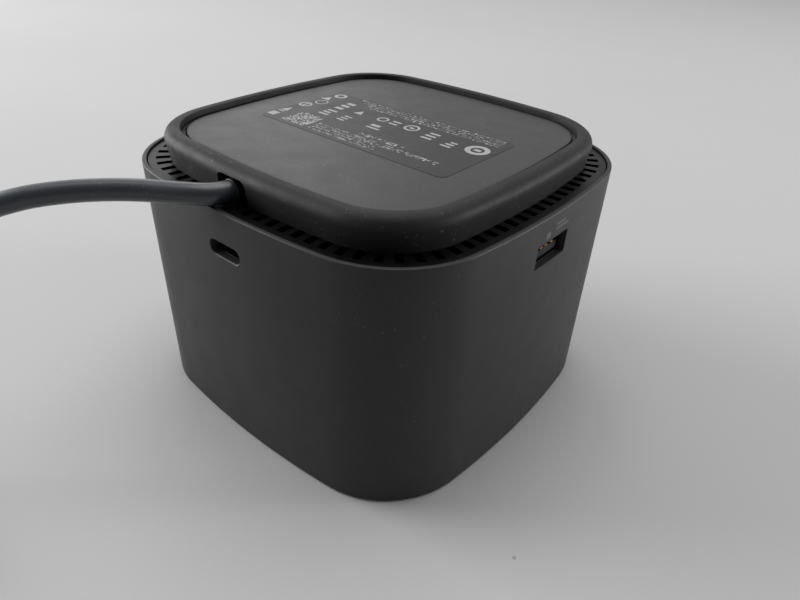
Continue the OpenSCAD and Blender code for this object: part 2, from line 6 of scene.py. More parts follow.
import bpy
import bmesh
import json
import math
import random
from math import radians, sin, cos, pi
from mathutils import Vector, Matrix


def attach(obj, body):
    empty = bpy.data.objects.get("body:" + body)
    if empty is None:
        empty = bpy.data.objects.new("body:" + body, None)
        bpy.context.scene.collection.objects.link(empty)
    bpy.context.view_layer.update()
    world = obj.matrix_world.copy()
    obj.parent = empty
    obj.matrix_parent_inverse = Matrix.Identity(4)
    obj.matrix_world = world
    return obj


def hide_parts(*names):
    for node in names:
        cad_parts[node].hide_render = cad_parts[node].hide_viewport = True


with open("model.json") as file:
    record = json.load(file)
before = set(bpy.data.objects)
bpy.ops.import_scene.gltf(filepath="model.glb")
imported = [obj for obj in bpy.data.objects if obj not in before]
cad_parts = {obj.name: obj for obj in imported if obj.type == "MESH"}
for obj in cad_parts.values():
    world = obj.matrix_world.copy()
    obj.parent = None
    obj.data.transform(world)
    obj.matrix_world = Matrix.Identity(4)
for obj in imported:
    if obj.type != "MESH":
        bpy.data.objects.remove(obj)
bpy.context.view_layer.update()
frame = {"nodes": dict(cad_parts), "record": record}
scene = bpy.context.scene
MM = 0.001

# The part's sizes in millimetres: part.scad has them too, or they follow from its sizes
HALF, CORNER_R, SIDE_R = 50.8, 24.4, 242.2
FOOT_HALF, FOOT_CORNER_R = 45.3, 20.9
RIM_Z, LEDGE_Z, RING_Z, TOP_Z = 63.9, 63.4, 61.6, 71.0
WALL, LIP, SLEEVE_BOTTOM, COVER_T = 2.0, 1.1, 0.3, 2.6
FOOT_BAND, GROOVE, RECESS, FRAME_TOP = 3.95, 1.3, 1.15, 69.2
SOCKET_Z, LARGE_Y, LOCK_Y, BUTTON_Z, LIGHT_Z, PANEL_Z = 54.5, 0.4, 22.0, 16.0, 26.0, 31.0
NOTCH_X, NOTCH_W, NOTCH_Z, NOTCH_H = -3.0, 9.0, 64.9, 8.2
SKIRT_T, SKIRT_DRAFT, FOOT_EDGE_R = 3.0, 0.8, 2.4
COVER_BOTTOM, LABEL_T = 68.4, 0.15
LEAD_D, LEAD_Z = 4.8, 66.0
LABEL_W, LABEL_H, LABEL_R, LABEL_X, LABEL_Y = 60.6, 30.1, 2.0, 0.1, -0.05
# Cut-outs: width, height and corner radius
SMALL_SOCKET, LARGE_SOCKET = (10.0, 3.5, 1.6), (13.4, 5.9, 0.5)
PANEL, LOCK_SLOT = (54.0, 46.0, 3.0), (7.0, 3.0, 1.0)
BUTTON_HOLE, LIGHT_HOLE = (9.3, 9.3, 4.64), (6.0, 1.6, 0.78)


# ---- Camera ----

def make_camera():
    """Looks down at the corner between -Y and +X; azimuth 0 would look from -Y."""
    azimuth, elevation, roll = radians(38.94), radians(33.537), radians(2.667)
    target, distance = Vector((21.402, -16.613, 35.56)) * MM, 155.82 * MM
    back = Vector((sin(azimuth) * cos(elevation), -cos(azimuth) * cos(elevation), sin(elevation)))
    level = (-back).cross(Vector((0, 0, 1))).normalized()
    upright = level.cross(-back)
    right = level * cos(roll) + upright * sin(roll)
    up = upright * cos(roll) - level * sin(roll)
    data = bpy.data.cameras.new("camera")
    data.lens, data.sensor_width = 28.2, 36.0
    data.clip_start, data.clip_end = 0.01, 20.0
    cam = bpy.data.objects.new("camera", data)
    scene.collection.objects.link(cam)
    m = Matrix((right, up, back)).transposed().to_4x4()
    m.translation = target + back * distance
    cam.matrix_world = m
    scene.camera = cam


make_camera()


# ---- Materials ----

def new_material(name, metallic=0.0, **inputs):
    """A material with only its Principled shader; returns (material, tree, shader)."""
    mat = bpy.data.materials.new(name)
    mat.use_nodes = True
    tree = mat.node_tree
    shader = tree.nodes["Principled BSDF"]
    shader.inputs["Metallic"].default_value = metallic
    for key, value in inputs.items():
        shader.inputs[key.replace("_", " ")].default_value = value
    return mat, tree, shader


def node(tree, kind, links=(), **settings):
    """A node with its properties and input values set, and its inputs linked to other sockets."""
    n = tree.nodes.new(kind)
    for key, value in settings.items():
        if hasattr(n, key):
            setattr(n, key, value)
        else:
            n.inputs[key.replace("_", " ")].default_value = value
    for name, source in dict(links).items():
        tree.links.new(source, n.inputs[name])
    return n


def place(tree):
    """Object coordinates: every object sits at the origin, so metres in the part's frame."""
    return node(tree, "ShaderNodeTexCoord").outputs["Object"]


def noise(tree, where, scale, detail=3.0, roughness=0.55, stretch=None):
    if stretch:
        where = node(tree, "ShaderNodeMapping", {"Vector": where}, Scale=stretch).outputs["Vector"]
    return node(tree, "ShaderNodeTexNoise", {"Vector": where}, Scale=scale, Detail=detail,
                Roughness=roughness).outputs["Fac"]


def remap(tree, value, low, high, to_low=0.0, to_high=1.0):
    """Turns low..high into to_low..to_high, and holds the ends."""
    n = node(tree, "ShaderNodeMapRange", {"Value": value}, clamp=True)
    for key, v in (("From Min", low), ("From Max", high), ("To Min", to_low), ("To Max", to_high)):
        n.inputs[key].default_value = v
    return n.outputs["Result"]


def math_node(tree, op, a, b):
    """The sum, product or so of a and b; each is a number or a node's output."""
    n = node(tree, "ShaderNodeMath", operation=op)
    for i, v in enumerate((a, b)):
        if isinstance(v, (int, float)):
            n.inputs[i].default_value = v
        else:
            tree.links.new(v, n.inputs[i])
    return n.outputs[0]


def blend_colour(tree, amount, a, b):
    """Colour a where the amount is 0, b where it is 1; each is a tuple or a node's output."""
    n = node(tree, "ShaderNodeMix", data_type="RGBA")
    factor, colour_a, colour_b, colour_out = n.inputs[0], n.inputs[6], n.inputs[7], n.outputs[2]
    tree.links.new(amount, factor)
    for socket, v in ((colour_a, a), (colour_b, b)):
        if isinstance(v, tuple):
            socket.default_value = (*v, 1.0)
        else:
            tree.links.new(v, socket)
    return colour_out


def grey(v, warm=0.0):
    """A grey, a little redder than it is blue where warm is over 0."""
    return (v * (1 + warm), v, v * (1 - warm))


def specks(tree, where, scale, size, density=0.5):
    """Small dots scattered over the surface: 1 in a dot, 0 elsewhere."""
    v = node(tree, "ShaderNodeTexVoronoi", {"Vector": where}, Scale=scale, Randomness=1.0)
    dots = remap(tree, v.outputs["Distance"], size, size * 0.5)
    patch = remap(tree, noise(tree, where, scale * 0.21, 2.0), density, density + 0.08)
    return math_node(tree, "MULTIPLY", dots, patch)


def moulded(name, base, rough=(0.42, 0.55), grain=2600.0, depth=0.00002, dust=0.0, scuffs=0.0,
            **inputs):
    """Moulded plastic or rubber: a faint mottle, a fine grain, and dust and scuffs where asked."""
    mat, tree, shader = new_material(name, **inputs)
    at = place(tree)
    mottle = 0.14
    broad = noise(tree, at, 55.0, 4.0)
    fine = noise(tree, at, grain, 2.0)
    colour = blend_colour(tree, broad, grey(base * (1 - mottle)), grey(base * (1 + mottle)))
    colour = blend_colour(tree, remap(tree, fine, 0.35, 0.7), colour, grey(base * 1.12))
    roughness = remap(tree, noise(tree, at, 130.0, 5.0), 0.3, 0.7, *rough)
    if scuffs:
        lines = noise(tree, at, 90.0, 6.0, 0.7, stretch=(1.0, 7.0, 1.0))
        mark = remap(tree, lines, 0.66, 0.76, 0.0, scuffs)
        colour = blend_colour(tree, mark, colour, grey(min(base * 3.0, 0.5)))
        roughness = math_node(tree, "ADD", roughness, math_node(tree, "MULTIPLY", mark, 0.12))
    if dust:
        spots = math_node(tree, "ADD", specks(tree, at, 420.0, 0.16, 0.52),
                          specks(tree, at, 1100.0, 0.22, 0.5))
        spots = math_node(tree, "MULTIPLY", spots, dust)
        colour = blend_colour(tree, spots, colour, grey(0.42, 0.02))
    tree.links.new(colour, shader.inputs["Base Color"])
    tree.links.new(roughness, shader.inputs["Roughness"])
    bump = node(tree, "ShaderNodeBump", {"Height": fine}, Strength=0.6, Distance=depth)
    tree.links.new(bump.outputs["Normal"], shader.inputs["Normal"])
    return mat


def metal(name, colour, rough=(0.22, 0.4)):
    """Bare metal with fine lines across Z and duller patches."""
    mat, tree, shader = new_material(name, metallic=1.0)
    at = place(tree)
    lines = noise(tree, at, 500.0, 4.0, 0.6, stretch=(1.0, 1.0, 14.0))
    dull = noise(tree, at, 160.0, 4.0)
    tint = blend_colour(tree, dull, tuple(c * 0.82 for c in colour), colour)
    tree.links.new(tint, shader.inputs["Base Color"])
    tree.links.new(remap(tree, lines, 0.3, 0.7, *rough), shader.inputs["Roughness"])
    bump = node(tree, "ShaderNodeBump", {"Height": lines}, Strength=0.3, Distance=0.00001)
    tree.links.new(bump.outputs["Normal"], shader.inputs["Normal"])
    return mat


def laminate(name):
    """Solder mask over copper tracks."""
    mat, tree, shader = new_material(name, Coat_Weight=0.3)
    at = place(tree)
    tracks = node(tree, "ShaderNodeTexBrick", {"Vector": at}, Scale=260.0, Mortar_Size=0.03)
    mask, copper = (0.012, 0.075, 0.045), (0.03, 0.15, 0.08)
    tree.links.new(blend_colour(tree, tracks.outputs["Fac"], mask, copper),
                   shader.inputs["Base Color"])
    tree.links.new(remap(tree, noise(tree, at, 400.0), 0.3, 0.7, 0.25, 0.4),
                   shader.inputs["Roughness"])
    return mat


def jacket(name):
    """The lead's vinyl jacket: near black with a blue cast, glossy, with a few rubbed specks."""
    mat, tree, shader = new_material(name, Coat_Weight=0.5, Coat_Roughness=0.3)
    at = place(tree)
    broad = noise(tree, at, 70.0, 3.0)
    colour = blend_colour(tree, broad, (0.007, 0.011, 0.016), (0.013, 0.019, 0.028))
    rubbed = specks(tree, at, 900.0, 0.25, 0.56)
    colour = blend_colour(tree, math_node(tree, "MULTIPLY", rubbed, 0.2), colour, grey(0.3))
    tree.links.new(colour, shader.inputs["Base Color"])
    tree.links.new(remap(tree, noise(tree, at, 240.0, 5.0), 0.3, 0.7, 0.36, 0.5),
                   shader.inputs["Roughness"])
    bump = node(tree, "ShaderNodeBump", {"Height": noise(tree, at, 700.0, 4.0)}, Strength=0.35,
                Distance=0.00004)
    tree.links.new(bump.outputs["Normal"], shader.inputs["Normal"])
    return mat


def fabric(name, base):
    """Hook-and-loop tape: short loops in rows."""
    mat, tree, shader = new_material(name, Sheen_Weight=0.5, Sheen_Roughness=0.5)
    at = place(tree)
    loops = node(tree, "ShaderNodeTexVoronoi", {"Vector": at}, Scale=1500.0,
                 Randomness=0.7).outputs["Distance"]
    tree.links.new(blend_colour(tree, loops, grey(base * 1.5), grey(base * 0.5)),
                   shader.inputs["Base Color"])
    tree.links.new(remap(tree, loops, 0.0, 0.6, 0.75, 0.95), shader.inputs["Roughness"])
    bump = node(tree, "ShaderNodeBump", {"Height": loops}, Strength=0.8, Distance=0.0002)
    tree.links.new(bump.outputs["Normal"], shader.inputs["Normal"])
    return mat


def coloured(name, colour, rough=(0.35, 0.5), **inputs):
    """An even colour with slightly darker patches."""
    mat, tree, shader = new_material(name, **inputs)
    at = place(tree)
    tint = blend_colour(tree, noise(tree, at, 300.0, 4.0), tuple(c * 0.85 for c in colour), colour)
    tree.links.new(tint, shader.inputs["Base Color"])
    tree.links.new(remap(tree, noise(tree, at, 500.0), 0.3, 0.7, *rough),
                   shader.inputs["Roughness"])
    return mat


# One for each of the part's slots, and for the near sockets a steel darkened as painted shade and a
# brighter, less metallic copper as painted light
MATS = {
    "soft_touch_shell": moulded("soft_touch_shell", 0.019, (0.44, 0.52), 1800.0, 0.000012,
                                dust=0.05, Specular_IOR_Level=0.27),
    "cover_plastic": moulded("cover_plastic", 0.018, (0.45, 0.6)),
    "ledge_plastic": moulded("ledge_plastic", 0.0015, (0.3, 0.38), dust=0.03,
                             Specular_IOR_Level=0.12),
    "inner_plastic": moulded("inner_plastic", 0.004, (0.5, 0.65)),
    "foot_rubber": moulded("foot_rubber", 0.006, (0.58, 0.68), 2200.0, 0.00002, dust=0.12,
                           scuffs=0.03, Specular_IOR_Level=0.3),
    "base_plastic": moulded("base_plastic", 0.012, (0.42, 0.50), 2400.0, 0.00003, dust=0.12),
    "label_film": moulded("label_film", 0.006, (0.44, 0.52), 3200.0, 0.000006, dust=0.08,
                          Specular_IOR_Level=0.42),
    "screw_steel": metal("screw_steel", (0.6, 0.6, 0.61)),
    "ballast_steel": metal("ballast_steel", (0.4, 0.4, 0.41), (0.35, 0.55)),
    "board_laminate": laminate("board_laminate"),
    "chip_epoxy": moulded("chip_epoxy", 0.03, (0.4, 0.55)),
    "pad_silicone": coloured("pad_silicone", (0.4, 0.5, 0.6), (0.5, 0.7)),
    "fin_aluminium": metal("fin_aluminium", (0.75, 0.76, 0.77), (0.25, 0.4)),
    "shield_steel": metal("shield_steel", (0.62, 0.62, 0.63)),
    "fan_plastic": moulded("fan_plastic", 0.02, (0.35, 0.5)),
    "bearing_bronze": metal("bearing_bronze", (0.6, 0.42, 0.2)),
    "socket_steel": metal("socket_steel", (0.6, 0.6, 0.62), (0.2, 0.35)),
    # Painted shade: a darkened copy of the socket steel for the near sockets' shells
    "socket_steel_painted_shade": metal("socket_steel_painted_shade", (0.06, 0.06, 0.065), (0.35, 0.5)),
    # Painted light: a brighter, less metallic copper for the near sockets' contacts, lit where no
    # light reaches
    "contact_copper_painted_light": coloured("contact_copper_painted_light", (0.8, 0.42, 0.18), (0.3, 0.4), metallic=0.35),
    "socket_plastic": moulded("socket_plastic", 0.004, (0.4, 0.55), Specular_IOR_Level=0.3),
    "contact_gold": metal("contact_gold", (0.85, 0.52, 0.24), (0.18, 0.3)),
    "panel_plastic": moulded("panel_plastic", 0.028, (0.42, 0.56), dust=0.2),
    "button_plastic": moulded("button_plastic", 0.06, (0.36, 0.48)),
    "light_pipe": coloured("light_pipe", (0.8, 0.82, 0.85), (0.2, 0.35)),
    "connector_nylon": coloured("connector_nylon", (0.75, 0.74, 0.7)),
    "cord_jacket": jacket("cord_jacket"),
    "tie_fabric": fabric("tie_fabric", 0.02),
    "plug_plastic": moulded("plug_plastic", 0.022, (0.34, 0.46)),
}
BLUE = coloured("blue_nylon", (0.02, 0.12, 0.42), (0.3, 0.45))
PRINT = coloured("label_ink", (0.30, 0.30, 0.31), (0.45, 0.6))
FAINT_PRINT = coloured("faint_print", (0.075, 0.075, 0.078), (0.5, 0.6))


def dusty_patch(mat, centre, reach, amount):
    """Rubbed-in dust on one part of a moulded surface, thickest at its centre; all in metres."""
    tree = mat.node_tree
    shader = tree.nodes["Principled BSDF"]
    clean = shader.inputs["Base Color"].links[0].from_socket
    at = place(tree)
    away = node(tree, "ShaderNodeVectorMath", {"Vector": at}, operation="DISTANCE")
    away.inputs[1].default_value = centre
    near = remap(tree, away.outputs["Value"], reach, reach * 0.3)
    smears = remap(tree, noise(tree, at, 520.0, 6.0, 0.7), 0.45, 0.8)
    flecks = specks(tree, at, 900.0, 0.3, 0.42)
    cover = math_node(tree, "MULTIPLY", near, math_node(tree, "MAXIMUM", smears, flecks))
    cover = math_node(tree, "MULTIPLY", cover, amount)
    tree.links.new(blend_colour(tree, cover, clean, grey(0.3, 0.03)), shader.inputs["Base Color"])


# The foot's -Y side, to the left of the lead
dusty_patch(MATS["foot_rubber"], centre=(-0.030, -0.0455, 0.068), reach=0.020, amount=0.17)

# Every piece of the CAD wears its slot's material
slot_of = {row["node"]: row["material_slot"] for row in frame["record"]["subparts"]}
for name, obj in frame["nodes"].items():
    obj.data.materials.clear()
    obj.data.materials.append(MATS[slot_of[name]])


# ---- Mesh helpers ----

def finish_mesh(bm, name, slot, body="dock", sharp=32.0, mat=None):
    """Turns a bmesh in millimetres into a piece that rides on a body."""
    bmesh.ops.remove_doubles(bm, verts=bm.verts, dist=1e-5)
    bmesh.ops.recalc_face_normals(bm, faces=bm.faces)
    bmesh.ops.scale(bm, vec=(MM, MM, MM), verts=bm.verts)
    mesh = bpy.data.meshes.new(name)
    bm.to_mesh(mesh)
    bm.free()
    obj = bpy.data.objects.new(name, mesh)
    scene.collection.objects.link(obj)
    mesh.shade_smooth()
    mesh.set_sharp_from_angle(angle=radians(sharp))
    mesh.materials.append(mat or MATS[slot])
    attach(obj, body)
    return obj


def bridge(bm, a, b):
    n = len(a)
    for i in range(n):
        bm.faces.new((a[i], a[(i + 1) % n], b[(i + 1) % n], b[i]))


def loft(bm, rings, closed=False):
    """Walls between successive rings; closed joins the ends, which are capped otherwise."""
    rows = [[bm.verts.new(p) for p in r] for r in rings]
    for a, b in zip(rows, rows[1:]):
        bridge(bm, a, b)
    if closed:
        bridge(bm, rows[-1], rows[0])
    else:
        bm.faces.new(rows[0])
        bm.faces.new(rows[-1])


def outline(half, corner, side, n_side=24, n_corner=22):
    """The outline as (centre, direction, radius) for each point, so that it can be offset.

    Four wide arcs of radius side bulge to half on each axis, and four of radius corner join them.
    """
    k = side - half
    c = (-2 * k + math.sqrt(4 * k * k - 8 * (k * k - (side - corner) ** 2))) / 4
    f = math.atan2(c, c + k)
    points = []
    for q in range(4):
        turn = Matrix.Rotation(q * pi / 2, 2)
        arcs = [(Vector((-k, 0)), side, -f, f, n_side),
                (Vector((c, c)), corner, f, pi / 2 - f, n_corner)]
        for centre, radius, t0, t1, n in arcs:
            for i in range(n):
                t = t0 + (t1 - t0) * i / n
                points.append((turn @ centre, turn @ Vector((cos(t), sin(t))), radius))
    return points


HOUSING = outline(HALF, CORNER_R, SIDE_R)
FOOT = outline(FOOT_HALF, FOOT_CORNER_R, SIDE_R)


def ring(shape, d, z):
    """The outline moved inwards by d, at height z."""
    return [(*(c + u * (r - d)), z) for c, u, r in shape]


def corner_arc(d, z, r, start, end, n=5):
    """Points (d, z) of a rounded edge about its centre, in degrees; 0 is inwards and 90 is up."""
    turns = [radians(start + (end - start) * i / n) for i in range(n + 1)]
    return [(d + r * cos(t), z + r * sin(t)) for t in turns]


def rounded(w, h, r, n=5):
    """A round-cornered rectangle as points (u, v), counter-clockwise."""
    points = []
    for q, (sx, sy) in enumerate(((1, 1), (-1, 1), (-1, -1), (1, -1))):
        for i in range(n + 1):
            t = q * pi / 2 + pi / 2 * i / n
            points.append((sx * (w / 2 - r) + r * cos(t), sy * (h / 2 - r) + r * sin(t)))
    return points


def bow(u):
    """How far the housing's face lies from the middle at u across it."""
    return math.sqrt(SIDE_R ** 2 - u ** 2) - (SIDE_R - HALF)


# On each face: across, up and out from the surface, to x, y, z
FACES = {
    "front": lambda u, v, d: (u, -(bow(u) + d), v),
    "right": lambda u, v, d: (bow(u) + d, u, v),
    "rear": lambda u, v, d: (-u, bow(u) + d, v),
    "left": lambda u, v, d: (-(bow(u) + d), -u, v),
}


def cutter(face, u, v, w, h, r, flare=0.3):
    """A tool that cuts a round-cornered opening with a softened edge into one housing face."""
    bm = bmesh.new()
    start, depth = 2.0, 7.0
    steps = [(start, flare), (0.02, flare), (-flare * 0.3, flare * 0.36),
             (-flare * 0.7, flare * 0.08), (-flare, 0.0), (-depth, 0.0)]
    loft(bm, [[FACES[face](u + a, v + b, d)
               for a, b in rounded(w + 2 * g, h + 2 * g, r + g, 7)] for d, g in steps])
    return bm


def cut(obj, tools):
    """Takes the tools' shapes out of obj's mesh for good."""
    spare = []
    for bm in tools:
        bmesh.ops.recalc_face_normals(bm, faces=bm.faces)
        bmesh.ops.scale(bm, vec=(MM, MM, MM), verts=bm.verts)
        mesh = bpy.data.meshes.new("tool")
        bm.to_mesh(mesh)
        bm.free()
        tool = bpy.data.objects.new("tool", mesh)
        scene.collection.objects.link(tool)
        mod = obj.modifiers.new("cut", "BOOLEAN")
        mod.operation, mod.solver, mod.object = "DIFFERENCE", "EXACT", tool
        spare.append(tool)
    bake(obj)
    for tool in spare:
        bpy.data.objects.remove(tool)


def bake(obj, sharp=20.0):
    """Applies obj's modifiers."""
    graph = bpy.context.evaluated_depsgraph_get()
    mesh = bpy.data.meshes.new_from_object(obj.evaluated_get(graph))
    obj.modifiers.clear()
    obj.data = mesh
    mesh.shade_smooth()
    mesh.set_sharp_from_angle(angle=radians(sharp))


def soften(obj, width=0.12, segments=2, angle=40.0):
    """A small rounding on an object's sharp edges, which its own mesh doesn't have."""
    mod = obj.modifiers.new("soften", "BEVEL")
    mod.width, mod.segments, mod.limit_method = width * MM, segments, "ANGLE"
    mod.angle_limit, mod.harden_normals = radians(angle), True


# ---- The lead, its coil and its plug ----

# The lead's centre line, from the base to the coil and from the coil to the plug
LEAD_ROUTE = [
    (-3, -45, 66), (-3.2, -48, 66.2), (-4.4, -50.7, 66.4), (-6.7, -52.8, 66.5), (-10, -55.2, 66.5),
    (-15, -59, 66.6), (-20, -63.8, 66.6), (-25, -69.8, 66.4), (-29.8, -76.8, 65.6),
    (-34, -84, 63.5), (-37.4, -90.1, 59.2), (-40.3, -95.3, 53), (-43, -100.1, 45.5),
    (-45.6, -104.8, 37.5), (-48.2, -109.4, 29.5), (-50.9, -114.2, 21.8), (-54, -119.7, 15),
    (-57.4, -125.7, 10.2), (-61, -132, 7.8),
]
TAIL_ROUTE = [(-21.9, -174.7, 3), (-17, -172.5, 3), (-12, -170.2, 3.1), (-7.3, -168.1, 3.1),
              (-3.7, -166.5, 3.1)]
# The coil's centre, turns, outer radius and first angle, then the heights of its two layers and
# the turns it takes to pass between them
COIL_CENTRE, COIL_TURNS, COIL_OUT, COIL_START = (-34.5, -147.0), 3.4, 30.5, 150.5
COIL_TOP, COIL_LOW, CROSSING_TURNS = 7.8, 3.0, 0.24
PLUG_ANGLE = 24.4


def coil_point(t):
    """A point t turns along the coil: inwards on the top layer, then outwards on the lower one."""
    radius = COIL_OUT - LEAD_D * min(t, COIL_TURNS - t)
    a = radians(COIL_START + 360 * t)
    s = min(max((t - COIL_TURNS / 2) / CROSSING_TURNS + 0.5, 0.0), 1.0)
    z = COIL_TOP + (COIL_LOW - COIL_TOP) * s * s * (3 - 2 * s)
    return (COIL_CENTRE[0] + radius * cos(a), COIL_CENTRE[1] + radius * sin(a), z)


def smooth_route(points, step=1.6):
    """A Catmull-Rom curve through the points, sampled about every step."""
    p = [Vector(q) for q in points]
    p = [p[0] * 2 - p[1], *p, p[-1] * 2 - p[-2]]
    out = []
    for i in range(1, len(p) - 2):
        n = max(1, round((p[i + 1] - p[i]).length / step))
        for j in range(n):
            t = j / n
            out.append(0.5 * ((2 * p[i]) + (p[i + 1] - p[i - 1]) * t
                              + (2 * p[i - 1] - 5 * p[i] + 4 * p[i + 1] - p[i + 2]) * t * t
                              + (3 * p[i] - p[i - 1] - 3 * p[i + 1] + p[i + 2]) * t ** 3))
    return [*out, p[-2]]


def make_cord():
    per_turn = 24
    coil = [coil_point(i / per_turn) for i in range(1, round(COIL_TURNS * per_turn))]
    route = smooth_route([*LEAD_ROUTE, *coil, *TAIL_ROUTE])
    curve = bpy.data.curves.new("lead", "CURVE")
    curve.dimensions = "3D"
    spline = curve.splines.new("POLY")
    spline.points.add(len(route) - 1)
    for point, p in zip(spline.points, route):
        point.co = (*(p * MM), 1.0)
    curve.bevel_depth, curve.bevel_resolution, curve.use_fill_caps = LEAD_D / 2 * MM, 6, True
    obj = bpy.data.objects.new("lead", curve)
    scene.collection.objects.link(obj)
    curve.materials.append(MATS["cord_jacket"])
    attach(obj, "dock")
    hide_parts("cable", "cable_coil", "cable_tail")
    return obj, sum((b - a).length for a, b in zip(route, route[1:])) * MM


def at_plug(x, y, z):
    """A point x across, y along and z above the plug's start, in the part's frame."""
    a = radians(PLUG_ANGLE)
    px, py, pz = TAIL_ROUTE[-1]
    return (px + y * cos(a) + x * sin(a), py + y * sin(a) - x * cos(a), pz + z)


def make_plug():
    """The moulded grip, its ribbed strain relief, and the metal shell with its tongue."""
    ribs, rib_pitch, first_rib_r, rib_growth, grip_y = 7, 1.3, 2.62, 0.35, 9.0
    bm = bmesh.new()
    rings = []
    for i in range(ribs):
        y = i * rib_pitch
        r = first_rib_r + rib_growth * y / grip_y
        for dy, dr in ((0.0, -0.28), (0.12, 0.0), (0.85, 0.03), (0.97, -0.28)):
            size = 2 * (r + dr)
            rings.append([at_plug(a, y + dy, b)
                          for a, b in rounded(size, size, (r + dr) * 0.999, 7)])
    for y, w, h, r in ((9.0, 6.2, 5.7, 2.7), (9.3, 8.2, 5.9, 2.6), (9.9, 10.2, 6.05, 2.4),
                       (10.8, 11.2, 6.15, 2.3), (12.0, 11.6, 6.2, 2.2), (27.8, 11.6, 6.2, 2.2),
                       (28.6, 11.3, 5.9, 2.1), (29.0, 10.6, 5.2, 1.9)):
        rings.append([at_plug(a, y, b) for a, b in rounded(w, h, r, 7)])
    loft(bm, rings)
    plug = finish_mesh(bm, "plug_grip", "plug_plastic")
    tools = []
    grip_half_h, grooves, first_groove, groove_pitch = 3.1, 5, 15.0, 2.1
    for side in (-1, 1):
        for i in range(grooves):
            tool = bmesh.new()
            y = first_groove + i * groove_pitch
            loft(tool, [[at_plug(a, y + b, side * (grip_half_h + dz))
                         for a, b in rounded(7.4 + g, 0.9 + g, 0.44 + g / 2, 5)]
                        for dz, g in ((1.0, 0.3), (0.0, 0.3), (-0.25, 0.0))])
            tools.append(tool)
    cut(plug, tools)
    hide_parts("cable_plug")

    shell_w, shell_h, shell_r = 8.34, 2.56, 1.25
    bm = bmesh.new()
    walls = [(28.9, 0.0), (35.3, 0.0), (35.55, -0.1), (35.65, -0.28), (35.5, -0.5), (35.2, -0.6),
             (29.6, -0.6)]
    loft(bm, [[at_plug(a, y, b) for a, b in rounded(shell_w + g, shell_h + g, shell_r + g / 2, 7)]
              for y, g in walls])
    shell = finish_mesh(bm, "plug_shell_tip", "socket_steel")
    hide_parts("plug_shell")
    bm = bmesh.new()
    loft(bm, [[at_plug(a, y, b) for a, b in rounded(w, 0.7, 0.3, 4)]
              for y, w in ((29.6, 6.4), (34.2, 6.4), (34.5, 6.1))])
    tongue = finish_mesh(bm, "plug_tongue", "socket_plastic")
    return [plug, shell, tongue]


def make_tie():
    """A strip of hook-and-loop tape round the bundle of turns, with its free end lapped on top."""
    tape_t, lap_rise, overlap, lap_steps = 0.6, 0.75, 9, 3
    middle_r, middle_z, angle = 27.1, 5.4, radians(240)
    section = ((-4.3, 0.0), (-4.5, 0.12), (-4.5, 0.48), (-4.3, tape_t),
               (4.3, tape_t), (4.5, 0.48), (4.5, 0.12), (4.3, 0.0))
    along = Vector((cos(angle), sin(angle), 0))
    across = Vector((-sin(angle), cos(angle), 0))
    centre = Vector((*COIL_CENTRE, 0)) + along * middle_r
    loop = rounded(10.9, 10.3, 2.6, 8)
    n = len(loop)
    path = [loop[i % n] for i in range(n + overlap)]
    rows = []
    for i, (u, v) in enumerate(path):
        lift = 0.0 if i < n - lap_steps else lap_rise * min(1.0, (i - n + lap_steps) / lap_steps)
        a, b = path[max(i - 1, 0)], path[min(i + 1, len(path) - 1)]
        t = Vector((b[0] - a[0], b[1] - a[1])).normalized()
        out = Vector((t.y, -t.x))
        sides = []
        for w, d in section:
            q = Vector((u, v)) + out * (d - tape_t / 2 + lift)
            p = centre + along * q.x + across * w
            sides.append((p.x, p.y, max(q.y + middle_z, 0.02)))
        rows.append(sides)
    bm = bmesh.new()
    loft(bm, rows)
    tie = finish_mesh(bm, "tie_strap", "tie_fabric")
    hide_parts("cable_tie")
    return tie


def make_relief():
    """The strain relief where the lead leaves the base: a short sleeve that narrows outwards."""
    bm = bmesh.new()
    rings = []
    sleeve_r, n = 2.57, 32
    turns = [2 * pi * i / n for i in range(n)]
    for y, r in ((-45.3, 2.42), (-45.2, 2.55), (-44.0, sleeve_r), (-43.9, 2.45), (-43.5, 2.45),
                 (-43.4, sleeve_r), (-42.2, sleeve_r), (-42.1, 2.45), (-41.7, 2.45),
                 (-41.6, sleeve_r), (-40.0, sleeve_r), (-39.95, 3.2), (-37.2, 3.2), (-37.0, 3.0)):
        rings.append([(NOTCH_X + r * cos(t), y, LEAD_Z + min(r, sleeve_r) * sin(t)) for t in turns])
    loft(bm, rings)
    relief = finish_mesh(bm, "relief_sleeve", "cord_jacket", mat=MATS["inner_plastic"])
    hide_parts("strain_relief")
    return relief


lead, lead_length = make_cord()
plug_pieces = make_plug()
tie = make_tie()
relief = make_relief()


# ---- Housing ----

def make_sleeve():
    """The housing's wall, thinned to a lip at both ends, with its openings cut."""
    low_r, rim_r, inner_r, seat_z = 0.5, 0.35, 0.2, COVER_T + 0.4
    profile = [
        *corner_arc(low_r, SLEEVE_BOTTOM + low_r, low_r, 270, 180),
        *corner_arc(rim_r, RIM_Z - rim_r, rim_r, 180, 90),
        *corner_arc(LIP - inner_r, RIM_Z - inner_r, inner_r, 90, 0, 3),
        (LIP, RING_Z + 0.02), (WALL, RING_Z), (WALL, seat_z), (LIP, seat_z),
        *corner_arc(LIP - inner_r, SLEEVE_BOTTOM + inner_r, inner_r, 0, -90, 3),
    ]
    bm = bmesh.new()
    loft(bm, [ring(HOUSING, d, z) for d, z in profile], closed=True)
    sleeve = finish_mesh(bm, "housing_shell", "soft_touch_shell")
    cut(sleeve, [
        cutter("front", 0, SOCKET_Z, *SMALL_SOCKET),
        cutter("right", LARGE_Y, SOCKET_Z, *LARGE_SOCKET, flare=0.08),
        cutter("rear", 0, PANEL_Z, *PANEL, flare=0.35),
        cutter("left", 0, BUTTON_Z, *BUTTON_HOLE),
        cutter("left", 0, LIGHT_Z, *LIGHT_HOLE, flare=0.2),
        cutter("left", -LOCK_Y, SOCKET_Z, *LOCK_SLOT),
    ])
    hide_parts("housing_sleeve")


make_sleeve()


# ---- Base ----

